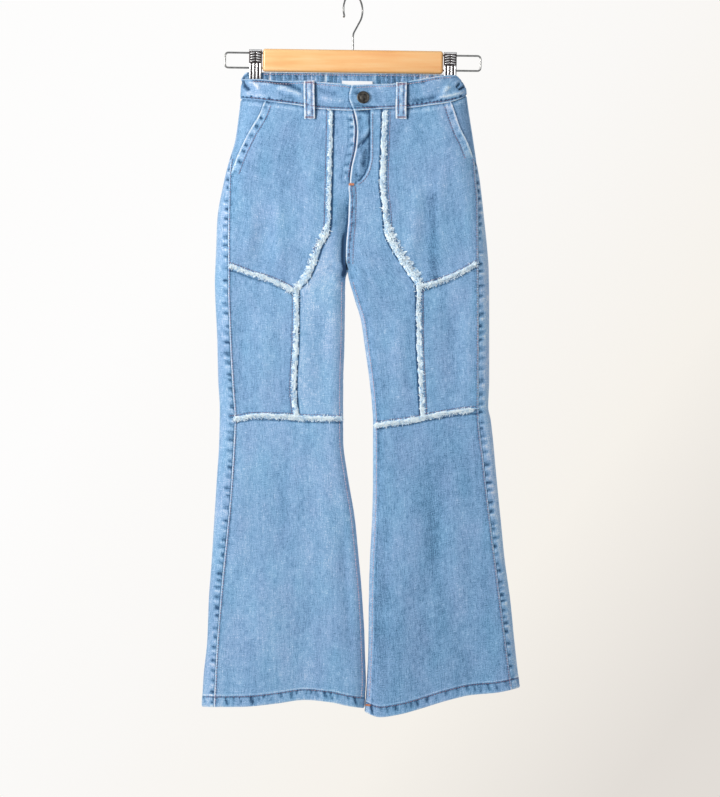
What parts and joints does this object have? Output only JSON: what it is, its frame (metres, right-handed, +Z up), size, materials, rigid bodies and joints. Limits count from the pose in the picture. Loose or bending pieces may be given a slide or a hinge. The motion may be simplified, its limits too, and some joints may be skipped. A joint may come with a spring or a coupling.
{
  "type": "flared jeans on a clip hanger",
  "caption": "Light blue flared denim jeans with frayed panel seams, a buttoned front and an elastic back waist, hanging flat from a wooden clip hanger.",
  "frame": {"origin": "the inside top of the hanger's hook, where a rail or a nail holds it", "axes": "+Z up, -Y out of the front of the jeans, +X towards the wearer's left; lengths in metres"},
  "size_m": [0.3976, 0.0456, 0.9064],
  "materials": {
    "denim": "light blue stonewashed twill, soft and matte",
    "fray": "loose pale blue and white cut threads, matte",
    "zip_tape": "woven tape, matte",
    "label": "plain white satin tape",
    "button_metal": "antique darkened brass, worn brighter at the rim",
    "bar_wood": "clear varnished pale hardwood, satin",
    "hanger_steel": "bright drawn steel wire",
    "clip_chrome": "polished pressed steel with ribs"
  },
  "bodies": {
    "root": {"waistband_front_right": "denim", "waistband_front_left": "denim", "waistband_back": "denim", "belt_loop_front_right": "denim", "belt_loop_front_left": "denim", "belt_loop_back_right": "denim", "belt_loop_back_center": "denim", "belt_loop_back_left": "denim", "pocket_facing_right": "denim", "hip_panel_right": "denim", "centre_panel_right": "denim", "thigh_panel_right": "denim", "shin_panel_right": "denim", "back_panel_right": "denim", "hem_right": "denim", "pocket_facing_left": "denim", "hip_panel_left": "denim", "centre_panel_left": "denim", "thigh_panel_left": "denim", "shin_panel_left": "denim", "back_panel_left": "denim", "hem_left": "denim", "fray_hip_right": "fray", "fray_side_right": "fray", "fray_thigh_right": "fray", "fray_knee_right": "fray", "fray_hip_left": "fray", "fray_side_left": "fray", "fray_thigh_left": "fray", "fray_knee_left": "fray", "fly_shield": "denim", "fly_zip": "zip_tape", "button": "button_metal", "label": "label", "hanger_bar": "bar_wood", "hanger_hook": "hanger_steel", "rail_right": "hanger_steel", "clip_carrier_right": "clip_chrome", "clip_jaw_front_right": "clip_chrome", "clip_jaw_back_right": "clip_chrome", "rail_left": "hanger_steel", "clip_carrier_left": "clip_chrome", "clip_jaw_front_left": "clip_chrome", "clip_jaw_back_left": "clip_chrome"}
  },
  "joints": []
}
